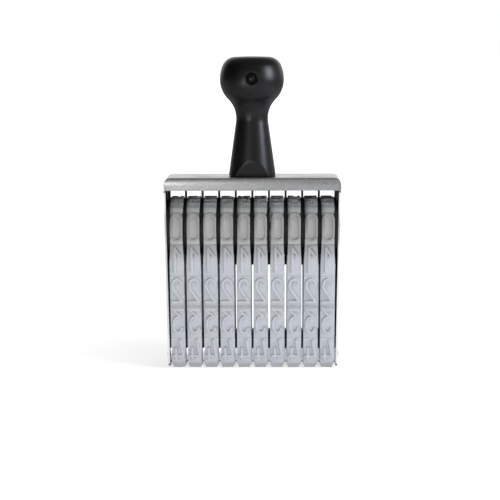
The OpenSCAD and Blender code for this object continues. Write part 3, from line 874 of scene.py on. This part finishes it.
def band_relief(s, x, shift):
    """Height of the digits, ribs and moulding lines above the web, over a grid of places.
    Also the places along the loop, below 0 behind the platen, and where the ledges are."""
    height = np.zeros_like(x)
    signed = np.where(s > BEHIND_START, s - LOOP_LEN, s)
    for n in range(10):
        v = signed - (5 - n) * DIGIT_PITCH - shift
        rows = np.abs(v[:, 0]) < DIGIT_PITCH / 2 - DIGIT_MARGIN
        across, along = np.broadcast_arrays(-x[rows], v[rows])
        p = np.stack([across.ravel(), along.ravel()], axis=1)
        d = digit_distance(n, p).reshape(x[rows].shape)
        worn = WORN_DIGITS.get(n, 1.0)
        slope = WALL_SLOPE / worn ** 3
        digit = RELIEF * worn * smooth_step((slope - d) / (2 * slope))
        height[rows] = np.maximum(height[rows], digit)
    height = np.maximum(height, RIB_GROUND * smooth_step(into_blank(signed) + 0.5))
    for k in range(RIB_COUNT):
        d = np.abs(signed - BLANK_START - (k + 0.5) * RIB_PITCH) - RIB_W / 2
        height = np.maximum(height, RIB_H * smooth_step(0.5 - d / (2 * RIB_SLOPE)))
    above_three = (signed > SLOPE_LOW) & (signed < SLOPE_HIGH)
    slope = SLOPE_H * smooth_step((SLOPE_TOP - signed) / SLOPE_LEN)
    height = np.where(above_three, np.maximum(height, slope), height)
    splice = np.abs(signed - SPLICE_AT) - SPLICE_W / 2
    height -= SPLICE_DEPTH * smooth_step((SPLICE_SOFT - splice) / (2 * SPLICE_SOFT))
    from_lines = [signed - (5.5 - n) * DIGIT_PITCH + CELL_LINE_DROP - shift for n in CELL_LINES]
    groove = sum(np.exp(-(away / CELL_LINE_W) ** 2) for away in from_lines)
    fall = np.roll(height, 1, axis=0) - np.roll(height, -1, axis=0)
    return height - CELL_LINE_DEPTH * groove, signed, np.clip(fall / LEDGE_STEP, 0, 1)


def row_places():
    """Places along the loop: close together on the digits, wider apart on the blank stretch."""
    top, back = BLANK_START + BLANK_MARGIN, BLANK_END - BLANK_MARGIN
    stretches = ((0, top, ROW_STEP), (top, back, BLANK_STEP), (back, LOOP_LEN, ROW_STEP))
    return np.concatenate([np.linspace(start, end, int((end - start) / step), endpoint=False)
                           for start, end, step in stretches])


def lattice(values, u, v):
    """Smooth values between the points of a small repeating grid of numbers."""
    i, j = np.floor(u).astype(int), np.floor(v).astype(int)
    a, b = smooth_step(u - i), smooth_step(v - j)
    rows, columns = values.shape
    i0, i1, j0, j1 = i % rows, (i + 1) % rows, j % columns, (j + 1) % columns
    low = values[i0, j0] * (1 - b) + values[i0, j1] * b
    high = values[i1, j0] * (1 - b) + values[i1, j1] * b
    return low * (1 - a) + high * a


def torn_share(signed, across, numbers):
    """How far the old rubber of the blank stretch is torn away, over a grid of places."""
    signed, across = np.broadcast_arrays(signed, across)
    along = (signed - BLANK_START - RIB_PITCH) / TEAR_ALONG
    torn = lattice(numbers, along, (across + 1) * TEAR_ACROSS / 2)
    return smooth_step(into_blank(signed) - 1) * smooth_step((torn - TEAR_LEVEL) / TEAR_SOFT)


def outward_faces(mesh):
    """Turns the faces of a closed mesh outwards without changing the order of its points."""
    corners = np.empty(len(mesh.loops), np.int32)
    mesh.loops.foreach_get("vertex_index", corners)
    q = read_places(mesh)[corners.reshape(-1, 4)]
    volume = sum(np.einsum("ij,ij->i", q[:, 0], np.cross(q[:, k], q[:, k + 1])).sum()
                 for k in (1, 2))
    if volume < 0:
        mesh.flip_normals()


def make_band(name, seed):
    """A band with its own small faults; every chance is drawn in a fixed order."""
    chance = np.random.default_rng(seed)
    shift = chance.uniform(-SHIFT_MAX, SHIFT_MAX)
    aside = chance.uniform(-SIDE_MAX, SIDE_MAX)
    phases = chance.uniform(0, TURN, 6)
    wear = chance.uniform(0.0, 1.0)
    tears = chance.uniform(0, 1, TEAR_GRID)
    low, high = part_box(name)
    centre_x = (low.x + high.x) / 2 / MM
    s = row_places()[:, None]
    half = band_half_width(loop_place(s, WEB_T)[1])
    across = np.linspace(-1, 1, COLUMNS)[None, :]
    x = half * across
    height, signed, ledge = band_relief(s, x, shift)
    torn = torn_share(signed, across, tears)
    height = height * (1 - TEAR_DEPTH * (TEAR_LEAST + (1 - TEAR_LEAST) * wear) * torn)
    turn = TURN * s / LOOP_LEN
    waves = sum(np.sin(turn * k + phases[k - 1] + WAVE_SKEW * k * across) for k in WAVE_COUNTS)
    highest = np.where(height > RELIEF, RIB_H, RELIEF)
    height = np.minimum(height + WAVE_H * waves - WAVE_H, highest)
    edge = np.maximum(np.abs(x) - half + EDGE_ROUND, 0)
    outer = WEB_T + height - (EDGE_ROUND - np.sqrt(np.maximum(EDGE_ROUND ** 2 - edge ** 2, 0)))
    # The ring of places round the web at each row: outer side, edge, inner side, edge
    side_x, side_e = np.array(INNER_SIDE).T
    ring_x = np.hstack([x, half * side_x])
    ring_e = np.hstack([outer, np.broadcast_to(side_e, (len(s), len(side_e)))])
    sway = aside + SWAY * np.sin(turn * 2 + phases[5])
    y, z = loop_place(np.broadcast_to(s, ring_e.shape), ring_e)
    places = np.stack([(ring_x + sway + centre_x).ravel(), y.ravel(), z.ravel()], axis=1)
    mesh = mesh_of(name + "_rubber", places, grid_quads(len(s), ring_x.shape[1], True))
    for label, value in (("relief", height / RELIEF), ("ledge", ledge), ("wear", wear),
                         ("across", across), ("place", signed / PLACE_UNIT)):
        full = np.zeros(ring_x.shape)
        full[:, :COLUMNS] = value
        write_attribute(mesh, label, full)
    outward_faces(mesh)
    dress(add_object(name + "_rubber", mesh), BAND_FINISH, "band_rubber", "root", name)


# ---- Wheels ----

def wheel_outline():
    """Half section of a wheel as (radius, place along the axle), closed."""
    half, hub_edge, rim_edge = WHEEL_HALF, WHEEL_HALF - HUB_ROUND, WHEEL_HALF - RIM_ROUND
    groove = half - FLANGE_T
    rim = FLANGE_R - KNURL_H
    right = [(BORE_R, hub_edge), (BORE_R + HUB_ROUND, half), (HUB_R - HUB_ROUND, half),
             (HUB_R, hub_edge), (HUB_R, WEB_HALF_T), (RECESS_R, WEB_HALF_T),
             (RECESS_R, hub_edge), (RECESS_R + HUB_ROUND, half), (rim - RIM_ROUND, half),
             (rim, rim_edge), (rim, groove + RIM_ROUND), (rim - RIM_ROUND, groove),
             (DRUM_R + DRUM_ROUND, groove), (DRUM_R, groove - DRUM_ROUND)]
    return right + [(r, -x) for r, x in reversed(right)]


def make_wheel(name, ring, teeth):
    place = Vector(WHEEL_PLACES[name] * MM)
    mesh = lathe_mesh(name + "_knurled", wheel_outline(), WHEEL_SEGMENTS, "X", closed=True)
    mesh.transform(Matrix.Translation(place))
    piece = add_object(name + "_knurled", mesh)
    for tooth in teeth:
        grow(piece, ring, Copy=tooth, Count=KNURL_COUNT, Centre=place, Material=WHEEL_FINISH)
    dress(piece, WHEEL_FINISH, "wheel_plastic", name, name)


def knurl_tooth(side):
    """One ridge of the knurled rim, at its place above the axle's own origin."""
    low, high = sorted((side * WHEEL_HALF, side * (WHEEL_HALF - FLANGE_T)))
    return rounded_box("knurl_tooth", (low, -KNURL_W / 2, FLANGE_R - KNURL_H - KNURL_ROOT),
                       (high, KNURL_W / 2, FLANGE_R), KNURL_ROUND, segments=1)


# ---- Handle ----

def handle_outline():
    """Radius against height above the foot, as a smooth line of tangent arcs. The numbers
    that end each stretch are its steps."""
    low_x, high_x, flare_x = KNOB_R - KNOB_LOWER_R, KNOB_R - KNOB_UPPER_R, WAIST_R + FLARE_R
    low = -math.acos((flare_x - low_x) / (KNOB_LOWER_R + FLARE_R))
    flare_z = KNOB_Z + (KNOB_LOWER_R + FLARE_R) * math.sin(low)
    reach = math.hypot(flare_x - FOOT_R, flare_z - RIM_H)
    taper = math.atan2(flare_z - RIM_H, flare_x - FOOT_R) - math.acos(FLARE_R / reach)
    shoulder_z = HANDLE_H - CROWN_H - SHOULDER_R
    high = math.asin((shoulder_z - KNOB_Z) / (KNOB_UPPER_R - SHOULDER_R))
    shoulder_x = high_x + (KNOB_UPPER_R - SHOULDER_R) * math.cos(high)
    low, high, taper = (math.degrees(k) for k in (low, high, taper))
    flare = arc(flare_x, flare_z, FLARE_R, FLARE_R, 180 + taper, 180 + low, 40)
    neck = np.linspace((FOOT_R, RIM_H), flare[0], 56)[:-1]
    lower = arc(low_x, KNOB_Z, KNOB_LOWER_R, KNOB_LOWER_R, low, 0, 50)[1:]
    upper = arc(high_x, KNOB_Z, KNOB_UPPER_R, KNOB_UPPER_R, 0, high, 24)[1:]
    shoulder = arc(shoulder_x, shoulder_z, SHOULDER_R, SHOULDER_R, high, 90, 36)[1:]
    t = np.linspace(1, 0, 8)[1:]
    crown = np.stack([shoulder_x * t, HANDLE_H - CROWN_H * t ** 2], axis=1)
    return np.vstack([FOOT_EDGE, neck, flare, lower, upper, shoulder, crown])


def soft_max(a, b, width):
    """The larger of two values, rounded over where they are close."""
    h = np.clip(0.5 + (a - b) / (2 * width), 0, 1)
    return b + (a - b) * h + width * h * (1 - h)


def within(near, end, width):
    """A mask that falls from 1 to 0 outwards, over the width of a step."""
    return smooth_step((end - near) / width)


def make_handle():
    """The grip, with a slanted flat at the foot and a round dimple in the knob on both sides."""
    mesh = lathe_mesh("handle_grip", handle_outline(), HANDLE_SEGMENTS)
    x, y, z = (read_places(mesh) / MM).T
    shaded = np.zeros_like(x)
    near = np.hypot(x, z - DIMPLE_Z) / DIMPLE_R
    dip = within(near, *DIMPLE_WALL) - DIMPLE_MIDDLE_H * within(near, *DIMPLE_MIDDLE)
    ring = within(near, *DULL_OUTSIDE) * (1 - within(near, *DULL_INSIDE))
    plane = -(FOOT_R - FLAT_CUT) - (FLAT_CUT - FLAT_CUT_TOP) * z / FLAT_H
    for side in (1, -1):
        cut = soft_max(side * y, plane, FLAT_ROUND)
        y = np.where((side * y < 0) & (z < FLAT_H + FLAT_REACH), side * cut, y)
        knob = side * y < -KNOB_R / 2
        y = np.where(knob, y + side * DIMPLE_DEPTH * dip, y)
        shaded = np.where(knob, ring, shaded)
    places = np.stack([x, y, z + FOOT_Z], axis=1) * MM
    mesh.vertices.foreach_set("co", places.astype(np.float32).ravel())
    write_attribute(mesh, "dimple", shaded)
    mesh.update()
    dress(add_object("handle_grip", mesh), HANDLE_FINISH, "handle_plastic", "root", "handle")


# ---- Comb and rivets ----

def make_comb(row):
    """The spine with a tooth in every gap, cut off at the side plates."""
    low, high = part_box("guide_comb")
    half = high.x / MM
    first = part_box(SEPARATOR_NAMES[0])
    start = (first[0].x + first[1].x) / 2
    tooth = rounded_box("comb_tooth", (-TOOTH_T / 2, -TOOTH_D / 2, COMB_BOTTOM),
                        (TOOTH_T / 2, TOOTH_D / 2, COMB_TOP), TOOTH_ROUND)
    piece = rounded_box("guide_comb_moulded", (-half, -COMB_D / 2, COMB_BOTTOM + TOOTH_DROP),
                        (half, COMB_D / 2, COMB_TOP), COMB_ROUND)
    grow(piece, row, Copy=tooth, Count=len(SEPARATOR_NAMES), Start=Vector((start, 0, 0)),
         Step=Vector((PITCH * MM, 0, 0)), Material=PLATE_FINISH)
    drop(tooth)
    for v in piece.data.vertices:
        v.co.x = min(max(v.co.x, low.x), high.x)
    dress(piece, PLATE_FINISH, "black_moulding", "root", "guide_comb")


def make_rivets(row):
    """Four rivets with domed heads, two at each end of the bar."""
    low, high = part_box("bar_rivets")
    head_d, z = high.z - low.z, (low.z + high.z) / 2
    spacing = high.y - low.y - head_d
    head_r, tip = head_d / 2 / MM, high.x / MM
    seat = tip - RIVET_HEAD_H
    dome = [(head_r * math.cos(a), seat + RIVET_HEAD_H * math.sin(a))
            for a in np.radians(DOME_DEGREES)]
    outline = [(0.0, tip - RIVET_LEN), (RIVET_R, tip - RIVET_LEN), (RIVET_R, seat), *dome,
               *((r, tip - drop_x) for r, drop_x in RIVET_POINT)]
    piece = add_object("bar_rivets_domed", bpy.data.meshes.new("bar_rivets_domed"))
    for name, side in (("rivet_right", 1), ("rivet_left", -1)):
        turned = lathe_mesh(name, [(r, side * x) for r, x in outline], RIVET_SEGMENTS, "X")
        rivet = add_object(name, turned)
        grow(piece, row, Copy=rivet, Count=2, Start=Vector((0, -spacing / 2, z)),
             Step=Vector((0, spacing, 0)), Material=AXLE_FINISH)
        drop(rivet)
    dress(piece, AXLE_FINISH, "axle_steel", "root", "bar_rivets")


# ---- Everything together ----

make_handle()
ring, row = ring_tree(), row_tree()
teeth = knurl_tooth(1), knurl_tooth(-1)
for wheel_name in WHEEL_NAMES:
    make_wheel(wheel_name, ring, teeth)
drop(*teeth)
for k, band_name in enumerate(BAND_NAMES):
    make_band(band_name, FIRST_SEED + k)
for separator_name in SEPARATOR_NAMES:
    plate = softened(separator_name, separator_name + "_plate", 0.15)
    dress(plate, PLATE_FINISH, "black_moulding", "root", separator_name)
make_comb(row)
make_rivets(row)
for node, name, width, finish, slot_name in (
        ("frame", "frame_folded_sheet", 0.16, FRAME_FINISH, "frame_sheet"),
        ("platen_bar", "platen_bar_drawn", 0.2, BAR_FINISH, "bar_aluminium"),
        ("axle", "axle_rod", 0.12, AXLE_FINISH, "axle_steel"),
        ("comb_screws", "comb_screws_slotted", 0.15, SCREW_FINISH, "screw_steel"),
        ("handle_screw", "handle_screw_hexagon", 0.2, SCREW_FINISH, "screw_steel"),
        ("handle_washer", "handle_washer_zinc", 0.12, SCREW_FINISH, "screw_steel"),
        ("handle_insert", "handle_insert_brass", 0.12, BRASS_FINISH, "insert_brass")):
    dress(softened(node, name, width), finish, slot_name, "root", node)


# ---- Floor, light and camera ----

FLOOR_HALF = 6.0
# Distances between which the floor's own glow grows, and its strength at both
FLOOR_FADE = (0.06, 0.3, 0.62, 1.0)
# Strength of the plain light, and of what shiny surfaces see in front and to the left
WORLD_LIGHT = 0.32
FRONT_GLOSS = 0.31
LEFT_GLOSS = 0.02
# Directions between which that room changes, with the factors there for up and down
LEFT_SIDE = (-0.85, -0.3)
BEHIND = (0.62, 0.93)
FAR_UP = (0.25, 0.5, 1.0, 0.4)
LEVEL = (-0.12, 0.12, 0.6, 1.45)
LAMPS = (
    ("key_front_right", (0.78, -0.76, 0.07), (0, 0, 0.08), 0.8, 0.2, 1.9, (1, 1, 1), False),
    ("low_front", (-0.08, -0.42, 0.022), (0, 0, 0.07), 0.5, 0.04, 0.6, (1, 1, 1), False),
    ("sheen_left", (-0.39, -0.95, 0.03), (0, 0, 0.08), 0.4, 0.06, 1.4, (1, 1, 1), True),
    ("cool_right", (0.46, -0.19, 0.32), (0, 0, 0.15), 0.22, 0.24, 1.75, (0.8, 0.86, 1.0), True))


def make_floor():
    """A white floor that keeps the object's shadow and fades to plain white further away."""
    mesh = bpy.data.meshes.new("floor")
    e = FLOOR_HALF
    mesh.from_pydata([(-e, -e, 0), (e, -e, 0), (e, e, 0), (-e, e, 0)], [], [(0, 1, 2, 3)])
    floor = add_object("floor", mesh)
    f = Finish("floor_white", (0.9, 0.9, 0.9), 0.9, specular=0.0)
    nodes = f.tree.nodes
    away = nodes.new("ShaderNodeVectorMath")
    away.operation = "LENGTH"
    feed(f.tree, nodes.new("ShaderNodeTexCoord").outputs["Object"], away.inputs[0])
    fade = map_range(f.tree, away.outputs["Value"], *FLOOR_FADE)
    seen = nodes.new("ShaderNodeLightPath").outputs["Is Camera Ray"]
    f.set("Emission Color", (1, 1, 1, 1))
    f.set("Emission Strength", f.times(seen, fade))
    mesh.materials.append(f.material)


def make_world():
    """White where a camera or see-through ray looks, and a plain soft light on dull surfaces.
    Shiny ones see a room that is white behind, dim in front, dark on the left, and brightest
    just above the middle."""
    world = bpy.data.worlds.new("studio")
    bpy.context.scene.world = world
    world.use_nodes = True
    tree = world.node_tree
    place = tree.nodes.new("ShaderNodeTexCoord")
    split = tree.nodes.new("ShaderNodeSeparateXYZ")
    tree.links.new(place.outputs["Generated"], split.inputs[0])
    x, y, z = split.outputs
    room = map_range(tree, x, *LEFT_SIDE, LEFT_GLOSS, FRONT_GLOSS)
    room = map_range(tree, y, *BEHIND, room, 1.0)
    for factors in (FAR_UP, LEVEL):
        room = math_node(tree, "MULTIPLY", room, map_range(tree, z, *factors))
    ray = tree.nodes.new("ShaderNodeLightPath").outputs
    straight = math_node(tree, "MAXIMUM", ray["Is Camera Ray"], ray["Is Transmission Ray"])
    strength = map_range(tree, ray["Is Glossy Ray"], 0.0, 1.0, WORLD_LIGHT, room)
    strength = map_range(tree, straight, 0.0, 1.0, strength, 1.0)
    background = tree.nodes["Background"]
    feed(tree, (1, 1, 1, 1), background.inputs["Color"])
    feed(tree, strength, background.inputs["Strength"])


make_floor()
make_world()
for name, place, target, width, height, power, colour, glossy in LAMPS:
    lamp = bpy.data.lights.new(name, "AREA")
    lamp.shape = "RECTANGLE"
    lamp.size, lamp.size_y = width, height
    lamp.energy = power
    lamp.color = colour
    o = add_object(name, lamp)
    o.location = place
    o.rotation_euler = (Vector(target) - Vector(place)).to_track_quat("-Z", "Y").to_euler()
    o.visible_glossy = glossy

camera = bpy.data.cameras.new("camera")
camera.sensor_width = 36.0
camera.lens = 82.72
camera.clip_start = 0.01
camera_object = add_object("camera", camera)
camera_object.location = (0.0101, -0.6528, 0.1856)
camera_object.rotation_euler = [math.radians(angle) for angle in (79.78, 0.25, 0.973)]
bpy.context.scene.camera = camera_object
bpy.context.scene.view_settings.view_transform = "Standard"
